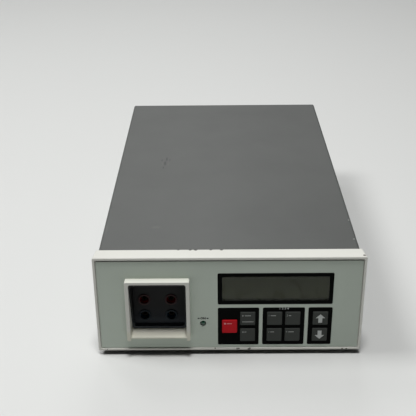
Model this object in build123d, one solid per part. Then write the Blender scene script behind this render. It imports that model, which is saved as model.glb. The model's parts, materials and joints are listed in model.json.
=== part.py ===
from build123d import *
import math
import os

# Bench power supply for gel electrophoresis: a folded steel case behind a moulded
# front, with a hooded bay of four shrouded output sockets, a two-line display and
# nine keys. Fan, mains inlet with its fuse drawer, and mains switch are at the rear.
# Lengths are in millimetres. +X is to the right, +Y runs from the front to the rear
# and +Z is up. The origin is on the table, under the middle of the case.
# Outlines are drawn as seen from the front, with z above the bezel's lower edge, and
# made solid between two depths behind the bezel's face.

# Overall size
width = 250.8
bezel_height = 102.3
foot_gap = 5.0
case_depth = 414.0
hood_reach = 6.2
rear_reach = 3.0
front_y = hood_reach - (hood_reach + case_depth + rear_reach) / 2

# Bezel, panel and overlay
bezel_depth = 16.4
bezel_corner = 1.5
side_flare = 1.8
top_flare = 0.75
lip_width = 2.4
lip_depth = 1.4
lip_corner = 1.0
seam_width = 0.7
seam_low = 0.4
seam_high = 1.9
seam_back = 2.2
ledge = 1.2
ledge_depth = 3.0
side_wall = 6.0
end_wall = 4.2
overlay_face = 1.0
panel_back = 5.0
fit_gap = 0.2
boss_x = 116.2
boss_z = (13.0, 89.0)
boss_diameter = 7.4
rib_x = (-90.0, -45.0, 0.0, 45.0, 90.0)

# Case
sheet = 1.2
cover_width = 242.8
cover_top = 100.8
cover_bottom = 1.2
cover_bend = 2.6
cover_front = bezel_depth + 0.3
chassis_width = 239.8
chassis_bottom = 1.5
chassis_front = bezel_depth + 0.15
chassis_wall_top = 97.5
flange_height = 16.0
front_window = ((-104.0, 108.0), (12.0, 92.0))
slot_width = 3.0
slot_height = 32.0
slot_pitch = 7.5
slots_a_side = 10
slot_middle = 270.0
cover_screw_depths = (40.0, 214.0, 392.0)
cover_screw_z = 10.0

# Socket bay
hood_x = (-96.6, -36.7)
hood_z = (15.2, 80.1)
hood_side = 3.5
hood_top = 2.75
bay_top = hood_z[1] - hood_top
hood_draft = 0.6
hood_corner = 1.5
hood_edge = 0.5
tube_inset = 1.4
bay_depth = 8.0
bay_corner = 2.2
sill_front = 18.9
sill_back = 20.4
sill_thickness = 1.8
nose_setback = 1.0
nose_radius = 0.8
nose_bevel = 0.4
cup_gap = 0.15
cup_rim_top = -5.6
cup_rim_bottom = 8.1
cup_wall = 2.5
cup_side = 1.75
cup_draft = 0.8
cup_face = 12.5
cup_back = 15.5
socket_x = (-80.4, -55.0)
socket_z = (50.1, 32.7)
sleeve_bore = 8.8
sleeve_body = 10.6
sleeve_flange = 12.0
sleeve_length = 24.0
contact_bore = 4.0
contact_outer = 6.0
contact_setback = 4.5
contact_reach = 19.0
tail_diameter = 2.4
tail_length = 6.0

# Display
display_x = (-10.8, 96.4)
display_z = (51.4, 85.2)
view_x = (-6.6, 92.8)
view_z = (54.8, 80.9)
view_bevel = 0.5
glass_margin = 1.4
rebate_front = 1.7
lens_depths = (1.8, 2.6)
glass_depths = (2.8, 5.8)
display_board_front = panel_back + 4.0
display_board_x = (-18.9, 105.5)
display_board_z = (47.2, 91.0)
display_posts = ((-15.6, 50.4), (102.0, 50.4), (-15.6, 87.8), (102.0, 87.8))

# Keys
key_group_x = {"left": (-10.7, 28.0), "middle": (31.5, 70.9), "right": (74.3, 96.8)}
key_group_z = (5.9, 47.7)
key_width = 14.2
key_tall = 14.4
upper_row = 35.8
lower_row = 17.4
stop_row = 27.0
key_places = {
    "key_stop": ("left", 0.3, stop_row),
    "key_run": ("left", 17.4, upper_row),
    "key_pause": ("left", 17.4, lower_row),
    "key_program_1": ("middle", 42.7, upper_row),
    "key_program_2": ("middle", 59.8, upper_row),
    "key_program_3": ("middle", 42.7, lower_row),
    "key_program_4": ("middle", 59.8, lower_row),
    "key_up": ("right", 85.7, upper_row),
    "key_down": ("right", 85.7, lower_row),
}
key_gap = 0.25
key_corner = 0.8
key_edge = 0.6
key_flange = 0.85
key_flange_front = 2.6
key_flange_back = 3.6
key_stem = 3.6
key_tip = 5.6
frame_plate_back = 2.4
frame_wall = 1.3
frame_flange = 1.5
flange_back = 6.2
switch_top = 6.6
switch_body_top = 7.2
key_board_front = 10.0
key_board_x = (-18.2, 104.0)
key_board_z = (6.0, 46.6)
key_posts = ((-15.2, 10.0), (101.0, 10.0), (-15.2, 42.0), (101.0, 42.0))

# Indicator lamp
lamp = (-24.7, 30.4)
lamp_hole = 5.8
lamp_lens = 5.0
lamp_tip = 0.2
lamp_base = 9.2

# Rear fittings
rear_face = case_depth - 2.0
rear_sheet = 1.5
inlet = (82.0, 32.0)
inlet_flange = (50.0, 32.0)
inlet_body_x = 28.0
inlet_body_z = (-14.0, 14.2)
inlet_body_depth = 26.0
inlet_screw_x = 20.0
inlet_face = rear_face + 3.0
cavity_x = 24.4
cavity_z = (-4.2, 12.6)
cavity_depth = 16.5
cavity_chamfer = 4.5
blade_size = (2.0, 4.0)
blade_places = ((-7.0, 2.2), (7.0, 2.2), (0.0, 6.2))
drawer_x = 20.8
drawer_z = (-12.3, -5.3)
drawer_depth = 25.4
fuse_diameter = 5.2
fuse_length = 20.0
fuse_x = 5.0
switch = (82.0, 72.0)
switch_flange = (17.0, 24.0)
switch_body = (13.8, 20.8)
switch_cavity = (10.6, 17.8)
switch_face = rear_face + 1.6
rocker_width = 10.2
rocker_half = 8.0
rocker_pivot = rear_face - 1.8
rocker_pin = 2.0
rocker_tilt = -8.0
fan = (-74.0, 52.0)
fan_size = 40.0
fan_back = rear_face - rear_sheet - 0.1
fan_thickness = 20.0
fan_bore = 38.0
fan_pitch = 32.0
fan_hub = 17.4
fan_sweep = 36.4
fan_blades = 7
fan_shaft = 3.0
guard_thickness = 1.2
vent_x = (-34.0, 34.0)
vent_count = 9
vent_z = (24.0, 78.0)
rear_screw_x = (-104.0, -34.0, 34.0, 104.0)
rear_screw_z = 9.0

# Inside
board = 1.6
foot_x = 98.0
foot_depths = (44.0, 372.0)
foot_top_diameter = 18.0
foot_diameter = 16.0
power_board_x = (-112.0, 90.0)
power_board_depths = (96.0, 262.0)
power_board_z = 12.0
power_posts = ((-106.0, 102.0), (84.0, 102.0), (-106.0, 256.0), (84.0, 256.0))
control_board_x = (-22.0, 108.0)
control_board_depths = (30.0, 90.0)
control_board_z = 69.0
control_posts = ((-16.0, 36.0), (102.0, 36.0), (-16.0, 84.0), (102.0, 84.0))
post_diameter = 6.0
capacitor_places = ((-94.0, 150.0), (-62.0, 150.0), (-94.0, 182.0), (-62.0, 182.0))
capacitor_diameter = 26.0
capacitor_height = 42.0
heat_sink_depths = (112.0, 244.0)
heat_sink_x = (60.0, 86.0)
heat_sink_height = 58.0
heat_sink_fins = 8
fin_thickness = 2.0
transistor_depths = (130.0, 160.0, 190.0, 220.0)
ferrite = (-2.0, 140.0)
chip_places = ((0.0, 52.0), (30.0, 52.0), (60.0, 52.0), (84.0, 52.0))
ribbon_x = 44.0
ribbon_width = 24.0
ribbon_thickness = 0.9
lead_diameter = 2.6
toroid = (-58.0, 322.0)
toroid_diameter = 92.0
toroid_hole = 34.0
toroid_height = 42.0


def facing(depth):
    """Plane across the case at this depth, seen from the front, z from the bezel's edge."""
    return Plane(origin=(0, front_y + depth, foot_gap), x_dir=(1, 0, 0), z_dir=(0, -1, 0))


def window(x_range, z_range, corner=0.0):
    """Upright rectangle between two x and two z values, with rounded corners."""
    across = x_range[1] - x_range[0]
    tall = z_range[1] - z_range[0]
    shape = RectangleRounded(across, tall, corner) if corner else Rectangle(across, tall)
    return Pos(sum(x_range) / 2, sum(z_range) / 2) * shape


def slab(outline, near, far):
    """Outline as seen from the front, made solid from depth near to depth far."""
    return extrude(facing(near) * outline, near - far)


def rod(x, z, diameter, near, far):
    """Round bar along Y, at x and z as seen from the front."""
    return slab(Pos(x, z) * Circle(diameter / 2), near, far)


def across(x_range, points):
    """Solid of constant section along X, drawn as depth and z points."""
    return across_outline(x_range, Polyline(*points, close=True))


def across_outline(x_range, outline):
    """Solid of constant section along X from a closed outline of depth and z."""
    plane = Plane(origin=(x_range[0], front_y, foot_gap), x_dir=(0, 1, 0), z_dir=(1, 0, 0))
    return extrude(plane * make_face(outline), x_range[1] - x_range[0])


def floor_plane(height):
    """Level plane at a height above the bezel's lower edge, y drawn as depth."""
    return Plane(origin=(0, front_y, foot_gap + height), x_dir=(1, 0, 0), z_dir=(0, 0, 1))


def layer(outline, low, high):
    """Outline as seen from above, made solid between two heights."""
    return extrude(floor_plane(low) * outline, high - low)


def post(x, depth, diameter, low, high):
    """Upright round bar between two heights."""
    return layer(Pos(x, depth) * Circle(diameter / 2), low, high)


def about(centre, length):
    """Range of a given length about its centre."""
    return (centre - length / 2, centre + length / 2)


def grown(limits, amount):
    """The same range, longer by amount at each end."""
    return (limits[0] - amount, limits[1] + amount)


def turned(points, place):
    """Ring or bar made by turning radius and depth points about an axis along Y."""
    profile = Plane.XZ * make_face(Polyline(*[(r, -depth) for r, depth in points], close=True))
    return facing(0) * Pos(place[0], place[1]) * revolve(profile, Axis.Z)


def screw(head, head_height, shank, length):
    """Pan-head screw: the head is above z 0 and the shank below it."""
    profile = Polyline(
        (0, -length),
        (shank / 2, -length),
        (shank / 2, 0),
        (head / 2, 0),
        (head / 2, head_height * 0.4),
        (head * 0.32, head_height),
        (0, head_height),
        close=True,
    )
    return revolve(Plane.XZ * make_face(profile), Axis.Z)


def screw_into_rear(place, depth, head, head_height, shank, length):
    """Screw with its head to the rear, its seat at this depth."""
    one = Rot(180, 0, 0) * screw(head, head_height, shank, length)
    return facing(depth) * Pos(place[0], place[1]) * one


def group(solids):
    """Separate solids kept as one sub-part."""
    return Compound(list(solids))


def bezel_outline(side_inset, end_inset, corner):
    """Outline of the bezel, drawn in from its widest."""
    x_range = (side_inset - width / 2, width / 2 - side_inset)
    return window(x_range, (end_inset, bezel_height - end_inset), corner)


def film_outline():
    """Outline of the printed film, which sits low inside the lip with a seam round it."""
    half = width / 2 - lip_width - seam_width
    z_range = (lip_width + seam_low, bezel_height - lip_width - seam_high)
    return window((-half, half), z_range, lip_corner)


def front_bezel():
    """Moulded frame: flared, with a raised lip, a seam and ledge inside it, bosses and ribs."""
    near = facing(0) * bezel_outline(0, 0, bezel_corner)
    far = facing(bezel_depth) * bezel_outline(side_flare, top_flare, bezel_corner)
    body = loft(Sketch() + [near, far], ruled=True)
    body = fillet(body.edges().filter_by_position(Axis.Y, front_y - 0.01, front_y + 0.01), 0.7)
    inside_lip = bezel_outline(lip_width, lip_width, lip_corner)
    body -= slab(inside_lip, 0, lip_depth)
    body -= slab(inside_lip - film_outline(), lip_depth, seam_back)
    body -= slab(bezel_outline(side_wall + ledge, end_wall + ledge, 0), lip_depth, ledge_depth)
    body -= slab(bezel_outline(side_wall, end_wall, 0), ledge_depth, bezel_depth)
    behind_panel = panel_back + fit_gap
    for x in (-boss_x, boss_x):
        for z in boss_z:
            body += rod(x, z, boss_diameter, behind_panel, bezel_depth)
            body -= rod(x, z, 2.6, bezel_depth - 8, bezel_depth)
    low_rib = (end_wall - 0.5, end_wall + 1.2)
    high_rib = (bezel_height - end_wall - 3.0, bezel_height - end_wall + 0.5)
    for x in rib_x:
        for z_range in (low_rib, high_rib):
            body += slab(window(about(x, 1.6), z_range), flange_back + 1, bezel_depth - 2)
    return body


def panel_windows(gap, near, far):
    """Openings for the bay, display, keys and lamp, through the panel or overlay."""
    bay = window(grown(hood_x, gap - tube_inset), grown(hood_z, gap - tube_inset), hood_corner)
    cut = slab(bay, near, far) + slab(window(grown(display_x, gap), grown(display_z, gap), 1.5), near, far)
    for x_range in key_group_x.values():
        cut += slab(window(grown(x_range, gap), grown(key_group_z, gap), 1.5), near, far)
    return cut + rod(*lamp, lamp_hole, near, far)


def front_panel():
    """Moulded backing panel, rebated to fit the bezel's ledge, with posts behind."""
    step = ledge + fit_gap
    panel = slab(bezel_outline(side_wall + step, end_wall + step, 0), lip_depth, ledge_depth)
    panel += slab(bezel_outline(side_wall + fit_gap, end_wall + fit_gap, 0), ledge_depth, panel_back)
    panel -= panel_windows(fit_gap / 2, lip_depth, panel_back)
    for place in display_posts:
        panel += rod(*place, 5.6, panel_back - 0.5, display_board_front)
        panel -= rod(*place, 2.1, panel_back, display_board_front)
    for place in key_posts:
        panel += rod(*place, 5.0, panel_back - 0.5, key_board_front)
        panel -= rod(*place, 2.1, panel_back, key_board_front)
    for z in (lamp[1] - 6.5, lamp[1] + 6.5):
        panel += rod(lamp[0], z, 4.0, panel_back - 0.5, lamp_base)
    return panel


def panel_overlay():
    """Printed film over the panel and the bezel's ledge."""
    film = slab(film_outline(), overlay_face, lip_depth)
    return film - panel_windows(fit_gap / 2, overlay_face, lip_depth)


def bay_opening(depth, gap=0.0):
    """Outline of the hood's opening at a depth, where its sides draw in and its sill rises."""
    share = (depth + hood_reach) / (bay_depth + hood_reach)
    x_range = grown(hood_x, -hood_side - hood_draft * share - gap)
    sill = sill_front + (sill_back - sill_front) * share
    return window(x_range, (sill + gap, bay_top - gap), bay_corner)


def bay_space(gap=0.0):
    """The tapered space inside the hood, from its front to the back of its walls."""
    near = facing(-hood_reach) * bay_opening(-hood_reach, gap)
    far = facing(bay_depth) * bay_opening(bay_depth, gap)
    return loft(Sketch() + [near, far], ruled=True)


def socket_hood():
    """Moulded hood: top and side bars that stand proud, and a sill set back between them."""
    hood = slab(window(hood_x, hood_z, hood_corner), -hood_reach, overlay_face)
    nose_y = front_y - hood_reach
    hood = fillet(hood.edges().filter_by_position(Axis.Y, nose_y - 0.01, nose_y + 0.01), hood_edge)
    tube = window(grown(hood_x, -tube_inset), grown(hood_z, -tube_inset), hood_corner)
    hood += slab(tube, overlay_face, bay_depth)
    hood -= bay_space()
    return hood - across_outline(grown(hood_x, -hood_side), sill_clearance())


def sill_clearance():
    """Outline of the space in front of the sill's rounded nose and under the sill."""
    nose = nose_setback - hood_reach
    over = sill_front + (sill_back - sill_front) * nose_setback / (bay_depth + hood_reach)
    under = sill_front - sill_thickness
    centre = (nose + nose_radius, over - nose_radius)
    half_way = nose_radius * math.sqrt(0.5)
    outline = Polyline(
        (nose, centre[1]),
        (nose, under + nose_bevel),
        (nose + nose_bevel, under),
        (overlay_face, hood_z[0] + tube_inset - fit_gap),
        (overlay_face, hood_z[0] - 1),
        (-hood_reach - 1, hood_z[0] - 1),
        (-hood_reach - 1, over + bay_corner),
        (centre[0], over + bay_corner),
        (centre[0], over),
    )
    middle = (centre[0] - half_way, centre[1] + half_way)
    return outline + ThreePointArc((centre[0], over), middle, (nose, centre[1]))


def socket_cup():
    """Black walls behind the hood's, their rim sloping back from the top to the sill."""
    cup = bay_space(cup_gap)
    cup += slab(bay_opening(bay_depth, cup_gap), bay_depth, cup_face)
    front_of_rim = (
        (-hood_reach - 1, bay_top + 1),
        (cup_rim_top, bay_top + 1),
        (cup_rim_top, bay_top),
        (cup_rim_bottom, sill_back),
        (cup_rim_bottom, sill_front - 1),
        (-hood_reach - 1, sill_front - 1),
    )
    cup -= across(grown(hood_x, 1), front_of_rim)
    inner_x = grown(hood_x, -hood_side - hood_draft - cup_side)
    inner_z = (sill_back + cup_wall, bay_top - cup_wall)
    near = facing(-hood_reach) * window(grown(inner_x, cup_draft), inner_z, bay_corner)
    far = facing(cup_face) * window(inner_x, inner_z, bay_corner)
    return cup - loft(Sketch() + [near, far], ruled=True)


def socket_plate():
    """Plate that closes the cup and carries the four shrouds."""
    plate = slab(bay_opening(bay_depth, cup_gap), cup_face, cup_back)
    for x in socket_x:
        for z in socket_z:
            plate -= rod(x, z, sleeve_body + 0.1, cup_face, cup_back)
    return plate


def socket_sleeves(z):
    """Shrouds of the two sockets in one row, closed behind around the contact."""
    front = cup_face - 1.0
    back = cup_face + sleeve_length
    hole = contact_outer / 2 + 0.05
    profile = (
        (sleeve_bore / 2, front),
        (sleeve_flange / 2 - 0.4, front),
        (sleeve_flange / 2, front + 0.4),
        (sleeve_flange / 2, cup_face),
        (sleeve_body / 2, cup_face),
        (sleeve_body / 2, back),
        (hole, back),
        (hole, back - 2),
        (sleeve_bore / 2, back - 2),
    )
    return group(turned(profile, (x, z)) for x in socket_x)


def socket_contacts():
    """Tubes that take the plugs, set back inside the shrouds, with solder tails."""
    front = cup_face - 1.0 + contact_setback
    bore_end = front + contact_reach
    back = cup_face + sleeve_length + 2
    outer = contact_outer / 2
    profile = (
        (contact_bore / 2, front),
        (outer - 0.4, front),
        (outer, front + 0.4),
        (outer, back),
        (tail_diameter / 2, back),
        (tail_diameter / 2, back + tail_length),
        (0, back + tail_length),
        (0, bore_end),
        (contact_bore / 2, bore_end),
    )
    return group(turned(profile, (x, z)) for x in socket_x for z in socket_z)


def display_frame():
    """Black surround of the display, with a rebate behind it for lens and glass."""
    frame = slab(window(display_x, display_z, 1.4), overlay_face, panel_back)
    flange = window(grown(display_x, frame_flange), grown(display_z, frame_flange), 1.5)
    frame += slab(flange, panel_back, flange_back)
    frame -= slab(window(view_x, view_z, 0.8), overlay_face, flange_back)
    rebate = window(grown(view_x, glass_margin + fit_gap), grown(view_z, glass_margin + fit_gap))
    frame -= slab(rebate, rebate_front, flange_back)
    face_y = front_y + overlay_face
    rim = frame.edges().filter_by_position(Axis.Y, face_y - 0.01, face_y + 0.01)
    inner = [e for e in rim if view_x[0] - 1 < e.center().X < view_x[1] + 1]
    inner = [e for e in inner if view_z[0] - 1 < e.center().Z - foot_gap < view_z[1] + 1]
    return chamfer(inner, view_bevel)


def display_layer(depths):
    """One of the sheets stacked behind the display's surround."""
    return slab(window(grown(view_x, glass_margin), grown(view_z, glass_margin)), *depths)


def display_board():
    """Circuit board of the display, screwed to the panel's posts."""
    outline = window(display_board_x, display_board_z)
    plate = slab(outline, display_board_front, display_board_front + board)
    for place in display_posts:
        plate -= rod(*place, 2.8, panel_back, bezel_depth)
    return plate


def key_frame(side):
    """Black surround of one block of keys, open behind, with a flange."""
    x_range = key_group_x[side]
    frame = slab(window(x_range, key_group_z, 1.4), overlay_face, panel_back)
    flange = window(grown(x_range, frame_flange), grown(key_group_z, frame_flange), 1.4)
    frame += slab(flange, panel_back, flange_back)
    inside = window(grown(x_range, -frame_wall), grown(key_group_z, -frame_wall))
    frame -= slab(inside, frame_plate_back, flange_back)
    for group_name, x, z in key_places.values():
        if group_name == side:
            hole_x = about(x, key_width + 2 * key_gap)
            hole_z = about(z, key_tall + 2 * key_gap)
            frame -= slab(window(hole_x, hole_z, key_corner), overlay_face, frame_plate_back)
    return frame


def key(x, z):
    """Key: a cap with softened front edges, a flange that keeps it in, and a stem."""
    cap = slab(window(about(x, key_width), about(z, key_tall), key_corner), 0, key_flange_front)
    cap = fillet(cap.edges().filter_by_position(Axis.Y, front_y - 0.01, front_y + 0.01), key_edge)
    flange = window(about(x, key_width + 2 * key_flange), about(z, key_tall + 2 * key_flange))
    cap += slab(flange, key_flange_front, key_flange_back)
    return cap + rod(x, z, key_stem, key_flange_back, key_tip)


def key_board():
    """Circuit board under the keys."""
    plate = slab(window(key_board_x, key_board_z), key_board_front, key_board_front + board)
    for place in key_posts:
        plate -= rod(*place, 2.8, key_board_front, bezel_depth)
    return plate


def key_switches():
    """Push switches on the key board, one behind each key."""
    switches = []
    for _, x, z in key_places.values():
        body = slab(window(about(x, 6), about(z, 6)), switch_body_top, key_board_front)
        switches.append(body + rod(x, z, 3.4, switch_top, switch_body_top))
    return group(switches)


def front_board_screws():
    """Screws that hold the key and display boards to the panel's posts."""
    key_side = key_board_front + board
    display_side = display_board_front + board
    screws = [screw_into_rear(place, key_side, 4.4, 1.6, 2.0, 5) for place in key_posts]
    screws += [screw_into_rear(place, display_side, 4.4, 1.6, 2.0, 5) for place in display_posts]
    return group(screws)


def indicator_lamp():
    """Lamp with a domed lens that fills its hole in the panel."""
    radius = lamp_lens / 2
    dome = radius * 0.8
    steps = 6
    points = []
    for step in range(steps + 1):
        angle = math.pi / 2 * step / steps
        points.append((radius * math.sin(angle), lamp_tip + dome * (1 - math.cos(angle))))
    rim = radius + 0.35
    points += [(radius, lamp_base - 1), (rim, lamp_base - 1), (rim, lamp_base), (0, lamp_base)]
    return turned(points, lamp)


def indicator_board():
    """Small board behind the lamp, on two posts."""
    return slab(window(about(lamp[0], 11), about(lamp[1], 18)), lamp_base, lamp_base + board)


def chassis_section(x_inset, low, high):
    """Upright section of the tray, drawn in at the sides."""
    half = chassis_width / 2 - x_inset
    return window((-half, half), (low, high))


def base_chassis():
    """Folded steel tray with a front wall, a rear flange, feet holes and floor vents."""
    back = rear_face - rear_sheet - 0.1
    rim = chassis_bottom + flange_height
    outside = chassis_section(0, chassis_bottom, rim)
    inside = chassis_section(sheet, chassis_bottom + sheet, rim)
    tray = slab(outside, chassis_front, back) - slab(inside, chassis_front, back)
    bends = tray.edges().filter_by(Axis.Y).group_by(Axis.Z)[0]
    tray = fillet(bends, sheet)
    front_wall = chassis_section(sheet, chassis_bottom + sheet, chassis_wall_top) - window(*front_window, 4)
    tray += slab(front_wall, chassis_front, chassis_front + sheet)
    tray += slab(inside, back - sheet, back)
    for x in (-boss_x, boss_x):
        for z in boss_z:
            tray -= rod(x, z, 3.4, chassis_front, chassis_front + sheet)
    for x in rear_screw_x:
        tray -= rod(x, rear_screw_z, 2.6, back - sheet, back)
    for depth in foot_depths:
        for x in (-foot_x, foot_x):
            tray -= post(x, depth, 3.4, chassis_bottom, chassis_bottom + sheet)
    for x in range(-56, 57, 14):
        vent = window(about(x, slot_width + 1), (190, 250))
        tray -= layer(vent, chassis_bottom, chassis_bottom + sheet)
    return tray - cover_screw_holes(2.6)


def cover_screw_holes(diameter):
    """Bars through both sides at the cover's screws."""
    holes = Part()
    for depth in cover_screw_depths:
        place = Plane(
            origin=(-cover_width / 2, front_y + depth, foot_gap + cover_screw_z), z_dir=(1, 0, 0)
        )
        holes += extrude(place * Circle(diameter / 2), cover_width)
    return holes


def top_cover():
    """Folded steel cover: a top and two sides, slotted for air."""
    half = cover_width / 2
    outline = window((-half, half), (cover_bottom, cover_top))
    outline = fillet(outline.vertices().group_by(Axis.Y)[-1], cover_bend)
    hollow = window((sheet - half, half - sheet), (cover_bottom - 5, cover_top - sheet))
    hollow = fillet(hollow.vertices().group_by(Axis.Y)[-1], cover_bend - sheet)
    cover = slab(outline - hollow, cover_front, case_depth)
    middle = (cover_bottom + cover_top) / 2
    slots = Part()
    for index in range(slots_a_side):
        depth = slot_middle + (index - (slots_a_side - 1) / 2) * slot_pitch
        low = middle - slot_height / 2
        slots += across(
            (-half - 1, half + 1),
            (
                (depth - slot_width / 2, low),
                (depth + slot_width / 2, low),
                (depth + slot_width / 2, low + slot_height),
                (depth - slot_width / 2, low + slot_height),
            ),
        )
    return cover - slots - cover_screw_holes(3.4)


def cover_screws():
    """Screws along the cover's lower edges, three a side."""
    screws = []
    one = screw(5.6, 1.8, 2.4, 4)
    for depth in cover_screw_depths:
        at = (front_y + depth, foot_gap + cover_screw_z)
        screws.append(Pos(cover_width / 2, *at) * Rot(0, 90, 0) * one)
        screws.append(Pos(-cover_width / 2, *at) * Rot(0, -90, 0) * one)
    return group(screws)


def bezel_screws():
    """Screws from inside the case into the bezel's bosses."""
    places = [(x, z) for x in (-boss_x, boss_x) for z in boss_z]
    return group(screw_into_rear(place, chassis_front + sheet, 4.4, 1.8, 2.4, 7) for place in places)


def rear_panel():
    """Flat steel rear panel with its cut-outs and vents."""
    half = chassis_width / 2
    near = rear_face - rear_sheet
    panel = slab(window((-half, half), (3.0, 99.2), 1.0), near, rear_face)
    body_x = about(inlet[0], inlet_body_x + 0.4)
    body_z = (inlet[1] + inlet_body_z[0] - 0.2, inlet[1] + inlet_body_z[1] + 0.2)
    panel -= slab(window(body_x, body_z), near, rear_face)
    switch_hole = window(about(switch[0], switch_body[0] + 0.4), about(switch[1], switch_body[1] + 0.4))
    panel -= slab(switch_hole, near, rear_face)
    panel -= rod(*fan, fan_bore, near, rear_face)
    for x in about(fan[0], fan_pitch):
        for z in about(fan[1], fan_pitch):
            panel -= rod(x, z, 4.4, near, rear_face)
    for x in (inlet[0] - inlet_screw_x, inlet[0] + inlet_screw_x):
        panel -= rod(x, inlet[1], 3.2, near, rear_face)
    for index in range(vent_count):
        x = vent_x[0] + (vent_x[1] - vent_x[0]) * index / (vent_count - 1)
        panel -= slab(window(about(x, slot_width), vent_z, slot_width / 2 - 0.01), near, rear_face)
    for x in rear_screw_x:
        panel -= rod(x, rear_screw_z, 3.4, near, rear_face)
    return panel


def rear_screws():
    """Small screws of the panel and the inlet, and larger ones through the fan's guard and corners."""
    small = [(x, rear_screw_z, rear_face) for x in rear_screw_x]
    small += [(x, inlet[1], inlet_face) for x in about(inlet[0], 2 * inlet_screw_x)]
    screws = [screw_into_rear((x, z), seat, 5.2, 1.5, 2.4, 6) for x, z, seat in small]
    for x in about(fan[0], fan_pitch):
        for z in about(fan[1], fan_pitch):
            screws.append(screw_into_rear((x, z), rear_face + guard_thickness, 7.0, 2.2, 3.8, 14))
    return group(screws)


def inlet_place(x_range, z_range):
    """Ranges about the inlet's centre, moved to where the inlet is."""
    return ((x_range[0] + inlet[0], x_range[1] + inlet[0]), (z_range[0] + inlet[1], z_range[1] + inlet[1]))


def blade_window(place, gap):
    """Outline of one inlet blade."""
    return window(*inlet_place(about(place[0], blade_size[0] + gap), about(place[1], blade_size[1] + gap)))


def mains_inlet():
    """Appliance inlet with a three-blade cavity and a slot for the fuse drawer."""
    flange = window(about(inlet[0], inlet_flange[0]), about(inlet[1], inlet_flange[1]), 3)
    body = slab(flange, rear_face, inlet_face)
    shell = window(*inlet_place(about(0, inlet_body_x), inlet_body_z))
    body += slab(shell, rear_face - inlet_body_depth, rear_face)
    x_range, z_range = inlet_place(about(0, cavity_x), cavity_z)
    cavity = window(x_range, z_range)
    cavity = chamfer(cavity.vertices().group_by(Axis.Y)[-1], cavity_chamfer)
    body -= slab(cavity, inlet_face - cavity_depth, inlet_face)
    slot = window(*inlet_place(about(0, drawer_x + 0.4), grown(drawer_z, 0.2)))
    body -= slab(slot, inlet_face - drawer_depth - 0.3, inlet_face)
    for place in blade_places:
        body -= slab(blade_window(place, 0.1), rear_face - inlet_body_depth, inlet_face)
    for x in (inlet[0] - inlet_screw_x, inlet[0] + inlet_screw_x):
        body -= rod(x, inlet[1], 3.2, rear_face, inlet_face)
    return body


def inlet_blades():
    """Three blades that run from the cavity through to solder tags."""
    near = rear_face - inlet_body_depth - 6
    return group(slab(blade_window(place, 0), near, inlet_face - 2) for place in blade_places)


def fuse_drawer():
    """Drawer under the inlet with two open troughs for fuses and a finger lip."""
    near = inlet_face - drawer_depth
    body = slab(window(*inlet_place(about(0, drawer_x), drawer_z)), near, inlet_face + 0.4)
    trough_z = (drawer_z[0] + 0.9, drawer_z[1] + 1)
    for x in (-fuse_x, fuse_x):
        trough = window(*inlet_place(about(x, fuse_diameter + 0.4), trough_z))
        body -= slab(trough, near + 1.5, near + 1.5 + fuse_length + 0.6)
    lip_z = (drawer_z[0] + 0.6, drawer_z[0] + 2.2)
    lip = slab(window(*inlet_place(about(0, 12), lip_z)), inlet_face + 0.4, case_depth + rear_reach)
    return body + lip


def fuses():
    """Working fuse and spare, lying in the drawer's troughs."""
    near = inlet_face - drawer_depth + 1.8
    cap = fuse_diameter / 2
    tube = cap - 0.25
    points = (
        (0, near),
        (cap, near),
        (cap, near + 5),
        (tube, near + 5),
        (tube, near + fuse_length - 5),
        (cap, near + fuse_length - 5),
        (cap, near + fuse_length),
        (0, near + fuse_length),
    )
    rest = inlet[1] + drawer_z[0] + 0.95 + cap
    return group(turned(points, (inlet[0] + x, rest)) for x in (-fuse_x, fuse_x))


def switch_housing():
    """Snap-in housing of the mains switch, with pivot holes in its side walls."""
    flange = window(about(switch[0], switch_flange[0]), about(switch[1], switch_flange[1]), 1.5)
    body = slab(flange, rear_face, switch_face)
    shell = window(about(switch[0], switch_body[0]), about(switch[1], switch_body[1]))
    body += slab(shell, rear_face - 20, rear_face)
    hollow = window(about(switch[0], switch_cavity[0]), about(switch[1], switch_cavity[1]))
    body -= slab(hollow, rear_face - 12, switch_face)
    return body - rocker_axle(rocker_pin + 0.1, switch_body[0])


def rocker_axle(diameter, length):
    """Round bar along X through the rocker's pivot."""
    origin = (switch[0] - length / 2, front_y + rocker_pivot, foot_gap + switch[1])
    return extrude(Plane(origin=origin, z_dir=(1, 0, 0)) * Circle(diameter / 2), length)


def mains_rocker():
    """Rocker with a shallow valley between its two faces, tipped to one end."""
    edge = 4.4
    valley = 3.3
    points = (
        (rocker_pivot + 0.5, rocker_half),
        (rocker_pivot + edge, rocker_half),
        (rocker_pivot + valley, 0),
        (rocker_pivot + edge, -rocker_half),
        (rocker_pivot + 0.5, -rocker_half),
        (rocker_pivot - 3.5, -4.5),
        (rocker_pivot - 3.5, 4.5),
    )
    raised = [(depth, z + switch[1]) for depth, z in points]
    body = across(about(switch[0], rocker_width), raised)
    body += rocker_axle(rocker_pin, switch_cavity[0] + 2.0)
    pivot = Axis((switch[0], front_y + rocker_pivot, foot_gap + switch[1]), (1, 0, 0))
    return body.rotate(pivot, rocker_tilt)


def switch_tabs():
    """Spade terminals at the back of the switch."""
    tabs = []
    for x in (switch[0] - 3.5, switch[0] + 3.5):
        for z in (switch[1] - 5, switch[1] + 5):
            tabs.append(slab(window(about(x, 0.8), about(z, 4.8)), rear_face - 29, rear_face - 20))
    return group(tabs)


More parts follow.
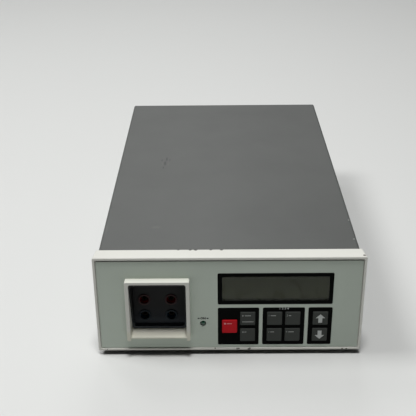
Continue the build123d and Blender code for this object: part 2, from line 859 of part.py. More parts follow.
def fan_frame():
    """Square fan frame with a round bore, and four struts to the motor's seat."""
    near = fan_back - fan_thickness
    body = slab(window(about(fan[0], fan_size), about(fan[1], fan_size), 2.5), near, fan_back)
    body -= rod(*fan, fan_bore, near, fan_back)
    struts = slab(Pos(*fan) * Circle(fan_hub / 2), near, near + 2)
    for angle in (45, 135):
        bar = Pos(*fan) * Rot(0, 0, angle) * Rectangle(fan_bore + 1.5, 2.4)
        struts += slab(bar, near, near + 2)
    body += struts
    body += rod(*fan, 12.6, near + 2, near + 13)
    for x in about(fan[0], fan_pitch):
        for z in about(fan[1], fan_pitch):
            body -= rod(x, z, 4.4, near, fan_back)
    return body - rod(*fan, fan_shaft + 0.1, near + 1, near + 13)


def fan_blade():
    """One twisted blade along local +X, its pitch easing from root to tip."""
    sections = []
    for radius, chord, pitch in ((7.6, 10.5, 48), (fan_sweep / 2 + 1, 14.0, 30)):
        plane = Plane(origin=(radius, 0, 0), x_dir=(0, 1, 0), z_dir=(1, 0, 0))
        sections.append(plane * Rot(0, 0, pitch) * Rectangle(chord, 1.0))
    return loft(Sketch() + sections, ruled=True)


def fan_rotor():
    """Hub cup with its shaft and seven twisted blades, trimmed to their sweep."""
    depth = 14.0
    reach = fan_sweep / 2
    blades = Part()
    for index in range(fan_blades):
        blades += Rot(0, 0, 360 * index / fan_blades) * fan_blade()
    blades &= extrude(Plane.XY.offset(-depth / 2) * Circle(reach), depth)
    hub = extrude(Plane.XY.offset(-8) * Circle(fan_hub / 2), 16)
    rotor = hub + blades
    rotor -= extrude(Plane.XY.offset(-6.5) * Circle(7.5), 14.5)
    rotor += extrude(Plane.XY.offset(-6.5) * Circle(fan_shaft / 2), 13.5)
    return facing(fan_back - 9.0) * Pos(*fan) * rotor


def fan_guard():
    """Stamped finger guard: rings on four spokes in a square plate."""
    guard = window(about(0, fan_size), about(0, fan_size), 2.5)
    bands = ((18.8, 15.4), (14.0, 10.6), (9.2, 5.4))
    spokes = Rectangle(fan_bore, 2.0) + Rectangle(2.0, fan_bore)
    for outer, inner in bands:
        guard -= Circle(outer) - Circle(inner) - spokes
    for x in about(0, fan_pitch):
        for y in about(0, fan_pitch):
            guard -= Pos(x, y) * Circle(2.2)
    return slab(Pos(*fan) * guard, rear_face, rear_face + guard_thickness)


def feet():
    """Four tapered rubber feet with a recess for the screw's head."""
    profile = Polyline(
        (1.8, 3.2),
        (4.2, 3.2),
        (4.2, 0),
        (foot_diameter / 2 - 0.6, 0),
        (foot_diameter / 2, 0.6),
        (foot_top_diameter / 2, foot_gap + chassis_bottom),
        (1.8, foot_gap + chassis_bottom),
        close=True,
    )
    foot = revolve(Plane.XZ * make_face(profile), Axis.Z)
    return group(Pos(x, front_y + depth, 0) * foot for x in (-foot_x, foot_x) for depth in foot_depths)


def foot_screws():
    """Screws up through the feet into the tray."""
    one = Pos(0, 0, 3.2) * Rot(180, 0, 0) * screw(7.4, 2.0, 3.0, 8)
    return group(Pos(x, front_y + depth, 0) * one for x in (-foot_x, foot_x) for depth in foot_depths)


def power_board():
    """Main power board."""
    return layer(window(power_board_x, power_board_depths), power_board_z, power_board_z + board)


def board_posts():
    """Posts on the tray's floor that carry the power board and the control board."""
    low = chassis_bottom + sheet
    posts = [post(*place, post_diameter, low, power_board_z) for place in power_posts]
    return group(posts + [post(*place, post_diameter, low, control_board_z) for place in control_posts])


def capacitors():
    """Reservoir capacitors with a crimped groove near the foot of each can."""
    radius = capacitor_diameter / 2
    profile = Polyline(
        (0, 0),
        (radius, 0),
        (radius, 2.5),
        (radius - 0.8, 3.5),
        (radius, 4.5),
        (radius, capacitor_height - 0.8),
        (radius - 0.8, capacitor_height),
        (0, capacitor_height),
        close=True,
    )
    can = revolve(Plane.XZ * make_face(profile), Axis.Z)
    plane = floor_plane(power_board_z + board)
    return group(plane * Pos(*place) * can for place in capacitor_places)


def ferrite_transformer():
    """High-voltage transformer: a ferrite core of two E halves round a wound bobbin."""
    low = power_board_z + board
    depths = about(ferrite[1], 20)
    core = layer(window(about(ferrite[0], 44), depths, 1.0), low + 3, low + 39)
    for x in (ferrite[0] - 12, ferrite[0] + 12):
        core -= layer(window(about(x, 9), grown(depths, 1)), low + 9, low + 33)
    winding = layer(window(about(ferrite[0], 30), about(ferrite[1], 34), 5), low + 9.5, low + 32.5)
    base = layer(window(about(ferrite[0], 38), about(ferrite[1], 36), 1.0), low, low + 3)
    return core + winding + base


def heat_sink():
    """Extruded heat sink: an upright back plate with level fins."""
    near, far = heat_sink_depths
    low = power_board_z + board
    top = low + heat_sink_height
    x_range = (heat_sink_x[0], heat_sink_x[0] + 4)
    sink = slab(window(x_range, (low, top)), near, far)
    pitch = (heat_sink_height - fin_thickness) / (heat_sink_fins - 1)
    for index in range(heat_sink_fins):
        z = low + index * pitch
        fin = window((x_range[1] - 0.5, heat_sink_x[1]), (z, z + fin_thickness))
        sink += slab(fin, near, far)
    return sink


def power_transistors():
    """Transistor packages on the heat sink, with their legs in the board."""
    low = power_board_z + board
    back = heat_sink_x[0]
    packages = []
    for depth in transistor_depths:
        package = slab(window((back - 5, back), (low + 14, low + 35)), depth - 8, depth + 8)
        for leg in (-5.4, 0, 5.4):
            foot = window((back - 3.2, back - 2.4), (low, low + 14.5))
            package += slab(foot, depth + leg - 0.6, depth + leg + 0.6)
        packages.append(package)
    return group(packages)


def toroid_transformer():
    """Wound toroidal mains transformer lying on the floor."""
    inner = toroid_hole / 2
    outer = toroid_diameter / 2
    section = window((inner, outer), (0, toroid_height), 8)
    ring = revolve(Plane.XZ * section, Axis.Z)
    return floor_plane(chassis_bottom + sheet) * Pos(*toroid) * ring


def transformer_clamp():
    """Dished washer and bolt that hold the toroid down."""
    top = toroid_height
    profile = Polyline(
        (0, 0),
        (3, 0),
        (3, top - 6),
        (10, top - 6),
        (22, top),
        (24, top),
        (24, top + 1.5),
        (21, top + 1.5),
        (9, top - 4),
        (6, top - 4),
        (6, top),
        (0, top),
        close=True,
    )
    clamp = revolve(Plane.XZ * make_face(profile), Axis.Z)
    return floor_plane(chassis_bottom + sheet) * Pos(*toroid) * clamp


def control_board():
    """Logic board behind the display."""
    return layer(window(control_board_x, control_board_depths), control_board_z, control_board_z + board)


def control_chips():
    """Packages on the control board."""
    low = control_board_z + board
    return group(layer(window(about(x, 9), about(y, 24), 0.6), low, low + 4) for x, y in chip_places)


def ribbon_cable():
    """Flat cable from the control board, down behind the keys to their board."""
    over = control_board_z + board + 0.1 + ribbon_thickness / 2
    into = key_board_front + board + 0.1
    points = ((38, over), (23, over), (23, 30), (into, 30))
    placed = [(ribbon_x, front_y + depth, foot_gap + z) for depth, z in points]
    path = FilletPolyline(*placed, radius=3.5)
    start = Plane(origin=path @ 0, z_dir=path % 0, x_dir=(1, 0, 0))
    return sweep(start * Rectangle(ribbon_width, ribbon_thickness), path)


def output_leads():
    """Insulated leads from the contacts' tails down to the power board."""
    near = cup_face + sleeve_length + 2 + tail_length + 0.1
    board_top = power_board_z + board
    leads = []
    for z, turn in zip(socket_z, (84.0, 70.0)):
        for x in socket_x:
            points = ((near, z), (turn, z), (turn + 34, 34), (turn + 34, board_top))
            if z < 34:
                points = ((near, z), (turn, z), (turn + 32, 24), (turn + 32, board_top))
            placed = [(x, front_y + depth, foot_gap + height) for depth, height in points]
            path = FilletPolyline(*placed, radius=6)
            start = Plane(origin=path @ 0, z_dir=path % 0, x_dir=(1, 0, 0))
            leads.append(sweep(start * Circle(lead_diameter / 2), path))
    return group(leads)


sub_parts = {
    "front_bezel": front_bezel(),
    "front_panel": front_panel(),
    "panel_overlay": panel_overlay(),
    "socket_hood": socket_hood(),
    "socket_cup": socket_cup(),
    "socket_plate": socket_plate(),
    "red_sleeves": socket_sleeves(socket_z[0]),
    "blue_sleeves": socket_sleeves(socket_z[1]),
    "socket_contacts": socket_contacts(),
    "display_frame": display_frame(),
    "display_lens": display_layer(lens_depths),
    "display_glass": display_layer(glass_depths),
    "display_board": display_board(),
    "key_frame_left": key_frame("left"),
    "key_frame_middle": key_frame("middle"),
    "key_frame_right": key_frame("right"),
    "key_board": key_board(),
    "key_switches": key_switches(),
    "front_board_screws": front_board_screws(),
    "indicator_lamp": indicator_lamp(),
    "indicator_board": indicator_board(),
    "base_chassis": base_chassis(),
    "top_cover": top_cover(),
    "cover_screws": cover_screws(),
    "bezel_screws": bezel_screws(),
    "rear_panel": rear_panel(),
    "rear_screws": rear_screws(),
    "mains_inlet": mains_inlet(),
    "inlet_blades": inlet_blades(),
    "fuse_drawer": fuse_drawer(),
    "fuses": fuses(),
    "switch_housing": switch_housing(),
    "mains_rocker": mains_rocker(),
    "switch_tabs": switch_tabs(),
    "fan_frame": fan_frame(),
    "fan_rotor": fan_rotor(),
    "fan_guard": fan_guard(),
    "feet": feet(),
    "foot_screws": foot_screws(),
    "power_board": power_board(),
    "board_posts": board_posts(),
    "capacitors": capacitors(),
    "ferrite_transformer": ferrite_transformer(),
    "heat_sink": heat_sink(),
    "power_transistors": power_transistors(),
    "toroid_transformer": toroid_transformer(),
    "transformer_clamp": transformer_clamp(),
    "control_board": control_board(),
    "control_chips": control_chips(),
    "ribbon_cable": ribbon_cable(),
    "output_leads": output_leads(),
}
for name, (_, x, z) in key_places.items():
    sub_parts[name] = key(x, z)

os.makedirs("parts", exist_ok=True)
for name, shape in sub_parts.items():
    export_step(shape, f"parts/{name}.step")
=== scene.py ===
"""Looks of an electrophoresis power supply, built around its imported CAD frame."""

import json
import math

import bpy
from mathutils import Matrix, Vector


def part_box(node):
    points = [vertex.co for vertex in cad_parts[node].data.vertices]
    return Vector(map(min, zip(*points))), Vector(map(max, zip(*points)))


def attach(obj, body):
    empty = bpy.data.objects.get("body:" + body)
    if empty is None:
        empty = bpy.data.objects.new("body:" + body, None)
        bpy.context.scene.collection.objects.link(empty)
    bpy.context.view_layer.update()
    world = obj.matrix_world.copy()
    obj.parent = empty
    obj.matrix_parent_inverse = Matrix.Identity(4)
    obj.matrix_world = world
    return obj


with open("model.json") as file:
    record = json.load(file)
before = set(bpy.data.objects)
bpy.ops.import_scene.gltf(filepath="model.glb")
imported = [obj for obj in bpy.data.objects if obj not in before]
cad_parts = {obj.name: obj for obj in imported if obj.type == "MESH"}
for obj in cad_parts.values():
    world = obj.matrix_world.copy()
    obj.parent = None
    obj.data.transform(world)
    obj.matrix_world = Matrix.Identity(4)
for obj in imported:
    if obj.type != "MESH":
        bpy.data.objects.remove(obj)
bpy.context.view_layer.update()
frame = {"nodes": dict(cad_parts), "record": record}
mm = 0.001
x_axis = 0
y_axis = 1
z_axis = 2

# Camera, solved from the straight edges of the case
camera_place = (-0.0123, -0.8593, 0.4853)
camera_down = math.radians(26.60)
camera_yaw = math.radians(-0.58)
camera_roll = math.radians(-0.62)
camera_lens = 72.0
sensor_width = 36.0

# Table, room and lights: places and sizes in metres, power in watts
table_half = 6.0
room_colour = (0.95, 0.98, 1.0, 1.0)
room_light = 0.02
lights = {
    "key_light": {"place": (0.0, -0.65, 3.0), "size": 0.6, "power": 59.0},
    "left_light": {"place": (-1.5, 0.0, 2.6), "size": 1.0, "power": 35.0},
    "back_left_light": {"place": (-1.3, 1.4, 2.6), "size": 1.0, "power": 11.0},
    "far_light": {"place": (0.0, 2.6, 2.2), "size": 1.6, "power": 17.0},
}

# Colours as seen in even light, besides some that carry painted light or shade: red, green and
# blue of 255
table_pale = (212, 213, 211)
warm_white = (212, 212, 205)
# Painted light on the hood's upward faces
hood_painted_light_white = (222, 223, 213)
hood_aged_white = (212, 211, 196)
# Painted light at the back of the hood's sill
sill_painted_light_white = (240, 238, 224)
chip_brown = (58, 54, 46)
panel_grey = (183, 193, 182)
cover_grey = (86, 88, 86)
scuff_grey = (120, 121, 117)
speck_grey = (150, 150, 146)
rear_grey = (128, 130, 127)
near_black = (6, 7, 6)
cup_black = (20, 21, 22)
# Painted light towards the foot of the socket bay, faint and strong
cup_faint_painted_light = (30, 34, 40)
cup_strong_painted_light = (78, 84, 91)
shroud_red = (48, 24, 25)
# Painted light inside the red sockets
shroud_red_painted_light = (150, 16, 22)
shroud_blue = (20, 32, 40)
# Painted light inside the blue sockets
shroud_blue_painted_light = (14, 66, 92)
key_grey = (62, 65, 62)
key_red = (188, 9, 25)
legend_white = (150, 153, 150)
legend_pink = (206, 132, 136)
legend_black = (20, 24, 22)
arrow_white = (184, 188, 186)
window_smoke = (30, 34, 28)
cell_olive = (104, 110, 74)
lamp_green = (16, 62, 44)
brass = (120, 112, 92)
brass_in_shade = (52, 46, 38)
bright_steel = (186, 188, 190)
zinc_steel = (170, 174, 176)
black_aluminium = (60, 62, 64)
rocker_black = (30, 30, 30)
rubber_black = (38, 38, 38)
rubber_dust = (66, 64, 60)
board_green = (34, 92, 58)
track_green = (30, 78, 50)
pad_silver = (190, 188, 176)
can_blue = (40, 52, 96)
core_grey = (70, 70, 72)
tape_yellow = (196, 172, 70)
cable_grey = (150, 152, 152)
lead_red = (150, 34, 34)
glass_clear = (190, 200, 196)

# Colour sockets of a Mix node, which share their names with its other sockets
mix_under = 6
mix_over = 7
mix_result = 2


def linear(colour):
    """A colour given as red, green, blue of 255, as linear values by the sRGB curve."""
    values = []
    for part in colour:
        part /= 255
        values.append(part / 12.92 if part <= 0.04045 else ((part + 0.055) / 1.055) ** 2.4)
    return (*values, 1.0)


def placed(name, data):
    """New object in the scene, of a mesh, a light or a camera."""
    piece = bpy.data.objects.new(name, data)
    bpy.context.scene.collection.objects.link(piece)
    return piece


class Finish:
    """One material: a principled shader and the nodes that feed it."""

    edge_samples = 6
    # Cosines of the turn between a face and its rounded edge, off and on the edge
    flat_cosine = 0.99
    bent_cosine = 0.80
    # Parts of a surface's normal along an axis where it starts to face it and faces it fully
    faces_little = 0.5
    faces_fully = 0.9
    # Spots: how fine and how deep their ragged edge is, and shares of the radius where it fades
    spot_grain = 1400.0
    spot_ragged = 0.35
    spot_outer = 1.2
    spot_inner = 0.9
    # Share of a smudge's reach within which it is full
    smudge_core = 0.2

    def __init__(self, name, colour, roughness, metallic=0.0):
        self.material = bpy.data.materials.new(name)
        self.material.use_nodes = True
        self.material.diffuse_color = linear(colour)
        self.tree = self.material.node_tree
        self.shader = self.tree.nodes["Principled BSDF"]
        self.shader.inputs["Metallic"].default_value = metallic
        self.place = self.add("ShaderNodeTexCoord").outputs["Object"]
        self.colour = linear(colour)
        self.roughness = roughness
        self.normal = None

    def add(self, kind, **settings):
        """A new node of the material with these settings."""
        node = self.tree.nodes.new(kind)
        for name, value in settings.items():
            setattr(node, name, value)
        return node

    def feed(self, socket, value):
        """Links an output to a socket, or sets the socket to a plain value."""
        if isinstance(value, bpy.types.NodeSocket):
            self.tree.links.new(value, socket)
        else:
            socket.default_value = value

    def math(self, operation, first, second=0.0, third=0.0, clamp=False):
        """The result of an operation on plain numbers."""
        node = self.add("ShaderNodeMath", operation=operation, use_clamp=clamp)
        for socket, value in zip(node.inputs, (first, second, third)):
            self.feed(socket, value)
        return node.outputs[0]

    def vector(self, operation, first, second=(0.0, 0.0, 0.0), output=0):
        """The result of an operation on vectors: output 0 is a vector, output 1 a number."""
        node = self.add("ShaderNodeVectorMath", operation=operation)
        self.feed(node.inputs[0], first)
        self.feed(node.inputs[1], second)
        return node.outputs[output]

    def parts(self, vector):
        """The x, y and z of a vector."""
        node = self.add("ShaderNodeSeparateXYZ")
        self.feed(node.inputs[0], vector)
        return node.outputs

    def texture(self, kind, scale, place=None, **settings):
        """A texture node, its scale in repeats per metre."""
        node = self.add("ShaderNodeTex" + kind, **settings)
        self.feed(node.inputs["Vector"], place or self.place)
        node.inputs["Scale"].default_value = scale
        return node

    def noise(self, size, detail=3.0, place=None):
        """Noise of 0 to 1 whose patches are about this many metres across."""
        node = self.texture("Noise", 1.0 / size, place)
        node.inputs["Detail"].default_value = detail
        return node.outputs["Fac"]

    def between(self, value, start, end):
        """0 at the start and 1 at the end, smooth between them and level beyond."""
        node = self.add("ShaderNodeMapRange", interpolation_type="SMOOTHSTEP")
        self.feed(node.inputs["Value"], value)
        node.inputs["From Min"].default_value = start
        node.inputs["From Max"].default_value = end
        return node.outputs["Result"]

    def mix(self, mask, colour, blend="MIX"):
        """Blends a colour with what is there, where the mask is 1."""
        node = self.add("ShaderNodeMix", data_type="RGBA", blend_type=blend)
        self.feed(node.inputs["Factor"], mask)
        self.feed(node.inputs[mix_under], self.colour)
        node.inputs[mix_over].default_value = colour
        self.colour = node.outputs[mix_result]

    def paint(self, mask, colour):
        """Lays a colour over what is there, where the mask is 1."""
        self.mix(mask, linear(colour))

    def shade(self, mask, factor):
        """Multiplies the colour by a factor where the mask is 1."""
        self.mix(mask, (factor, factor, factor, 1.0), "MULTIPLY")

    def cloud(self, size, start, end, factor, detail=3.0):
        """Shades patches of noise about this many metres across."""
        self.shade(self.between(self.noise(size, detail), start, end), factor)

    def roughen(self, mask, amount):
        """Adds to the roughness where the mask is 1."""
        self.roughness = self.math("MULTIPLY_ADD", mask, amount, self.roughness)

    def bump(self, height, depth):
        """Relief of this depth in metres from a height of 0 to 1."""
        node = self.add("ShaderNodeBump")
        node.inputs["Strength"].default_value = 1.0
        node.inputs["Distance"].default_value = depth
        self.feed(node.inputs["Height"], height)
        if self.normal is not None:
            self.feed(node.inputs["Normal"], self.normal)
        self.normal = node.outputs["Normal"]

    def rounded(self, radius):
        """The normal of a surface whose edges have this radius in metres."""
        node = self.add("ShaderNodeBevel", samples=self.edge_samples)
        node.inputs["Radius"].default_value = radius
        return node.outputs["Normal"]

    def soften(self, radius):
        """Rounds the edges of the CAD mesh in the light."""
        self.normal = self.rounded(radius)

    def edges(self, radius):
        """1 along edges of the CAD mesh, 0 on its faces."""
        bent = self.rounded(radius)
        normal = self.add("ShaderNodeNewGeometry").outputs["Normal"]
        cosine = self.vector("DOT_PRODUCT", bent, normal, output=1)
        return self.between(cosine, self.flat_cosine, self.bent_cosine)

    def spots(self, marks):
        """1 within ragged patches, each given as a place and a radius in metres."""
        shift = self.texture("Noise", scale=self.spot_grain).outputs["Fac"]
        total = 0.0
        for place, radius in marks:
            away = self.vector("DISTANCE", self.place, place, output=1)
            away = self.math("MULTIPLY_ADD", shift, 2 * self.spot_ragged * radius, away)
            inside = self.between(away, radius * self.spot_outer, radius * self.spot_inner)
            total = self.math("ADD", total, inside, clamp=True)
        return total

    def smudges(self, marks):
        """1 at the middle of soft oval patches, each given as a place and its reach in metres."""
        total = 0.0
        for place, reach in marks:
            shift = self.vector("SUBTRACT", self.place, place)
            away = self.vector("LENGTH", self.vector("DIVIDE", shift, reach), output=1)
            inside = self.between(away, 1.0, self.smudge_core)
            total = self.math("ADD", total, inside, clamp=True)
        return total

    def along(self, axis, start, end):
        """0 at the place start along an axis, 1 at the place end, smooth between them."""
        return self.between(self.parts(self.place)[axis], start, end)

    def facing(self, axis, sign):
        """1 where the surface looks along an axis, or against it for a sign of -1."""
        normal = self.add("ShaderNodeNewGeometry").outputs["Normal"]
        part = self.parts(normal)[axis]
        return self.between(part, sign * self.faces_little, sign * self.faces_fully)

    def done(self):
        """The material, once its colour, roughness and relief reach the shader."""
        self.feed(self.shader.inputs["Base Color"], self.colour)
        self.feed(self.shader.inputs["Roughness"], self.roughness)
        if self.normal is not None:
            self.feed(self.shader.inputs["Normal"], self.normal)
        return self.material


# Chips on the bezel, where the photograph shows them, in millimetres:
# along its lower lip as places across and up from the lip's foot with a radius,
# along its rear edge as places across with a radius, and one near its upper
# right corner as a place across, back from its face and down from its top
lip_chips = [
    (-13.5, 2.2, 1.0),
    (7.6, 1.6, 1.3),
    (9.2, 1.8, 1.2),
    (18.9, 1.2, 1.6),
    (19.9, 1.9, 1.1),
    (108.2, 1.0, 1.2),
    (112.2, 0.9, 1.3),
    (-117.0, 1.4, 0.7),
]
rear_chips = [(-47.0, 1.8), (-36.0, 2.2), (-31.0, 2.6), (-17.0, 2.0), (-7.0, 2.4)]
corner_chip = (122.9, 3.4, 0.3)
corner_chip_radius = 1.8

# Marks on the cover's top, in millimetres: places across and along it, then
# how far they reach across and along
dark_scuffs = [
    (-69.6, 13.0, 1.9, 9.0),
    (-68.2, 25.0, 1.7, 8.0),
    (-73.5, 22.0, 1.0, 4.0),
    (-64.6, 23.0, 0.9, 4.0),
    (-71.0, 1.0, 1.0, 4.5),
]
light_scuffs = [
    (-65.8, 11.0, 1.2, 8.0),
    (-72.6, 12.0, 1.2, 8.0),
    (-70.5, -142.6, 7.0, 4.0),
    (-118.2, -146.0, 1.6, 17.0),
]
cover_clouds = [
    (25.5, -153.7, 16.0, 14.0),
    (53.4, -154.1, 14.0, 16.0),
    (34.6, -109.0, 18.0, 20.0),
]
# Painted shade towards the front right corner of the top
painted_shade_corner = [(122.0, -200.0, 150.0, 190.0)]

# Light specks on the cover's top, in millimetres: places and radii
bare_specks = [(119.0, -129.9, 1.3), (118.3, -168.8, 1.2)]


def bezel_chips():
    """Places and radii of all chips on the bezel, in metres."""
    low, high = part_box("front_bezel")
    chips = [((x * mm, low.y, low.z + up * mm), radius * mm) for x, up, radius in lip_chips]
    x, back, down = corner_chip
    corner = (x * mm, low.y + back * mm, high.z - down * mm)
    chips.append((corner, corner_chip_radius * mm))
    chips += [((x * mm, high.y, high.z), radius * mm) for x, radius in rear_chips]
    return chips


def on_cover(marks, depth):
    """Places and reaches of marks on the cover's top, in metres, from its lists."""
    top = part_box("top_cover")[1].z
    return [((x * mm, y * mm, top), (wide * mm, long * mm, depth)) for x, y, wide, long in marks]


def moulded(name, colour, roughness=0.45, relief=0.02 * mm, shine=0.5):
    """Moulded plastic: fine spark-eroded grain, slight clouding, handled edges."""
    finish = Finish(name, colour, roughness)
    finish.shader.inputs["Specular IOR Level"].default_value = shine
    finish.soften(radius=0.35 * mm)
    finish.cloud(size=60 * mm, start=0.35, end=0.75, factor=0.965, detail=4)
    finish.cloud(size=9 * mm, start=0.45, end=0.8, factor=0.985, detail=5)
    finish.shade(finish.edges(radius=0.5 * mm), factor=0.94)
    finish.roughen(finish.noise(size=25 * mm), amount=0.10)
    finish.bump(finish.noise(size=0.9 * mm, detail=4), depth=relief)
    return finish


def bezel_plastic():
    """Moulded bezel with chipped lips and painted shade in patches on its underside."""
    finish = moulded("bezel_plastic", warm_white)
    finish.paint(finish.spots(bezel_chips()), chip_brown)
    # Painted shade on faces that look down, in patches of noise
    patches = finish.noise(size=14 * mm, detail=4)
    least = 0.65
    spread = 0.5
    underside_shade_patches = finish.math("MULTIPLY_ADD", patches, spread, least, clamp=True)
    underside = finish.facing(z_axis, -1)
    finish.shade(finish.math("MULTIPLY", underside, underside_shade_patches), factor=0.12)
    return finish.done()


def hood_plastic():
    """Moulded hood: painted light on its upward faces and more at the back of its sill, painted
    shade on its front faces, yellowed near its foot.
    """
    finish = moulded("hood_plastic", warm_white)
    front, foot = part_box("socket_hood")[0].yz
    # Painted light: faces that look up are lighter
    finish.paint(finish.facing(z_axis, 1), hood_painted_light_white)
    aged = finish.along(z_axis, foot + 14 * mm, foot + 7 * mm)
    finish.paint(aged, hood_aged_white)
    # Painted light on upward faces towards the back of the sill
    sill_back_band = finish.along(y_axis, front + 5 * mm, front + 11 * mm)
    painted_light_sill_back = finish.math("MULTIPLY", sill_back_band, finish.facing(z_axis, 1))
    finish.paint(painted_light_sill_back, sill_painted_light_white)
    # Painted shade: faces that look to the front are darker
    finish.shade(finish.facing(y_axis, -1), factor=0.93)
    return finish.done()


def cup_plastic():
    """Black bay behind the sockets, with painted light that greys it towards its foot."""
    finish = moulded("cup_plastic", cup_black, roughness=0.55, shine=0.2)
    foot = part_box("socket_plate")[0].z
    # Painted light: lighter and bluer towards the foot of the bay
    faint_painted_light = finish.along(z_axis, foot + 24 * mm, foot + 8 * mm)
    finish.paint(faint_painted_light, cup_faint_painted_light)
    strong_painted_light = finish.along(z_axis, foot + 12 * mm, foot - 1 * mm)
    finish.paint(strong_painted_light, cup_strong_painted_light)
    return finish.done()


def shroud_plastic(name, colour, painted_light_colour):
    """Socket shroud, dull at its rim, with painted light inside in a clearer, brighter colour."""
    finish = moulded(name, colour, roughness=0.5, shine=0.2)
    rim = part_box("red_sleeves")[0].y
    # Painted light on the inner faces of the socket
    inside = finish.along(y_axis, rim + 0.8 * mm, rim + 2.5 * mm)
    finish.paint(inside, painted_light_colour)
    return finish.done()


def cover_paint():
    """Grey textured paint on sheet steel: faintly blotchy, scuffed, darker at bends, with painted
    shade towards its right side, its front right corner and along its seam.
    """
    finish = Finish("grey_textured_paint", cover_grey, roughness=0.50)
    low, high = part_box("top_cover")
    finish.soften(radius=0.3 * mm)
    finish.cloud(size=110 * mm, start=0.35, end=0.7, factor=0.955, detail=4)
    finish.cloud(size=1.6 * mm, start=0.45, end=0.7, factor=0.965)
    finish.shade(finish.smudges(on_cover(cover_clouds, depth=9 * mm)), factor=0.965)
    # Painted shade: darker towards the right side
    painted_shade_side = finish.along(x_axis, -60 * mm, 90 * mm)
    finish.shade(painted_shade_side, factor=0.88)
    # Painted shade towards the front right corner
    finish.shade(finish.smudges(on_cover(painted_shade_corner, depth=300 * mm)), factor=0.93)
    finish.shade(finish.smudges(on_cover(dark_scuffs, depth=2 * mm)), factor=0.5)
    faint = 0.15
    rubbed = finish.smudges(on_cover(light_scuffs, depth=2 * mm))
    finish.paint(finish.math("MULTIPLY", rubbed, faint), scuff_grey)
    finish.shade(finish.edges(radius=0.9 * mm), factor=0.78)
    # Painted shade of the gap along the seam with the bezel, in ragged patches
    seam_shade_patches = finish.between(finish.noise(size=22 * mm, detail=6), start=0.30, end=0.62)
    seam = finish.along(y_axis, low.y + 1.9 * mm, low.y + 0.9 * mm)
    finish.shade(finish.math("MULTIPLY", seam, seam_shade_patches), factor=0.5)
    specks = [((x * mm, y * mm, high.z), radius * mm) for x, y, radius in bare_specks]
    finish.paint(finish.spots(specks), speck_grey)
    finish.roughen(finish.noise(size=40 * mm), amount=0.12)
    finish.bump(finish.noise(size=0.9 * mm, detail=4), depth=0.05 * mm)
    return finish.done()


def panel_film():
    """Grey-green matt film with the fine emboss of printed overlays, and painted shade towards
    its right end.
    """
    finish = Finish("panel_film", panel_grey, roughness=0.48)
    # Painted shade: darker towards the right end
    painted_shade_end = finish.along(x_axis, 60 * mm, 120 * mm)
    finish.shade(painted_shade_end, factor=0.93)
    finish.cloud(size=90 * mm, start=0.35, end=0.75, factor=0.965)
    finish.cloud(size=5 * mm, start=0.45, end=0.8, factor=0.985, detail=5)
    finish.roughen(finish.noise(size=18 * mm), amount=0.08)
    finish.bump(finish.noise(size=0.5 * mm, detail=2), depth=0.006 * mm)
    return finish.done()


def metal(name, colour, roughness, spangle=False):
    """Plated or bare metal with fine drawn streaks, or galvanised sheet with its spangle too."""
    finish = Finish(name, colour, roughness, metallic=1.0)
    finish.soften(radius=0.2 * mm)
    if spangle:
        crystals = finish.texture("Voronoi", scale=160.0).outputs["Color"]
        finish.shade(finish.between(crystals, start=0.2, end=0.9), factor=0.86)
    stretched = (1.0, 0.04, 1.0)
    drawn = finish.vector("MULTIPLY", finish.place, stretched)
    streaks = finish.noise(size=0.6 * mm, place=drawn)
    finish.shade(finish.between(streaks, start=0.35, end=0.75), factor=0.90)
    finish.roughen(streaks, amount=0.15)
    finish.bump(streaks, depth=0.008 * mm)
    return finish.done()


def foot_rubber():
    """Dark rubber, dusty in patches."""
    finish = Finish("foot_rubber", rubber_black, roughness=0.75)
    finish.soften(radius=0.4 * mm)
    finish.cloud(size=6 * mm, start=0.4, end=0.7, factor=0.88, detail=4)
    dust = finish.between(finish.noise(size=2.5 * mm, detail=5), start=0.62, end=0.8)
    finish.paint(dust, rubber_dust)
    finish.bump(finish.noise(size=0.7 * mm), depth=0.03 * mm)
    return finish.done()


def circuit_board():
    """Green solder mask over copper tracks and rows of pads."""
    finish = Finish("circuit_board", board_green, roughness=0.30)
    tracks = finish.texture("Brick", scale=55.0, offset=0.35)
    tracks.inputs["Mortar Size"].default_value = 0.035
    gaps = tracks.outputs["Fac"]
    finish.paint(finish.math("SUBTRACT", 1.0, gaps, clamp=True), track_green)
    pad_pitch = 2.54 * mm
    pads = finish.texture("Voronoi", scale=1.0 / pad_pitch)
    pads.inputs["Randomness"].default_value = 0.0
    finish.paint(finish.between(pads.outputs["Distance"], start=0.24, end=0.20), pad_silver)
    finish.bump(gaps, depth=0.03 * mm)
    return finish.done()


def display_window():
    """Clear acrylic: dark from outside, glossy, with the cell seen through it."""
    finish = Finish("display_window", window_smoke, roughness=0.06)
    handled = finish.between(finish.noise(size=20 * mm, detail=4), start=0.4, end=0.8)
    finish.roughen(handled, amount=0.05)
    finish.bump(finish.noise(size=30 * mm, detail=2), depth=0.01 * mm)
    finish.shader.inputs["Alpha"].default_value = 0.35
    finish.shader.inputs["IOR"].default_value = 1.49
    finish.material.surface_render_method = "BLENDED"
    return finish.done()


# Character cells along each axis of the display: how many there are, and the
# shares left bare at each end of the glass and on each side of a cell
character_rows = [
    {"axis": x_axis, "count": 16, "margin": 0.10, "gap": 0.10},
    {"axis": z_axis, "count": 2, "margin": 0.24, "gap": 0.07},
]


def in_cells(finish, share, count, margin, gap):
    """1 within the cells along one axis, from the share of the glass passed so far."""
    spread = 1 - 2 * margin
    step = finish.math("MULTIPLY", finish.math("SUBTRACT", share, margin), count / spread)
    within_row = finish.math("COMPARE", step, count / 2, count / 2)
    within_cell = finish.math("COMPARE", finish.math("FRACT", step), 0.5, 0.5 - gap)
    return finish.math("MULTIPLY", within_cell, within_row)


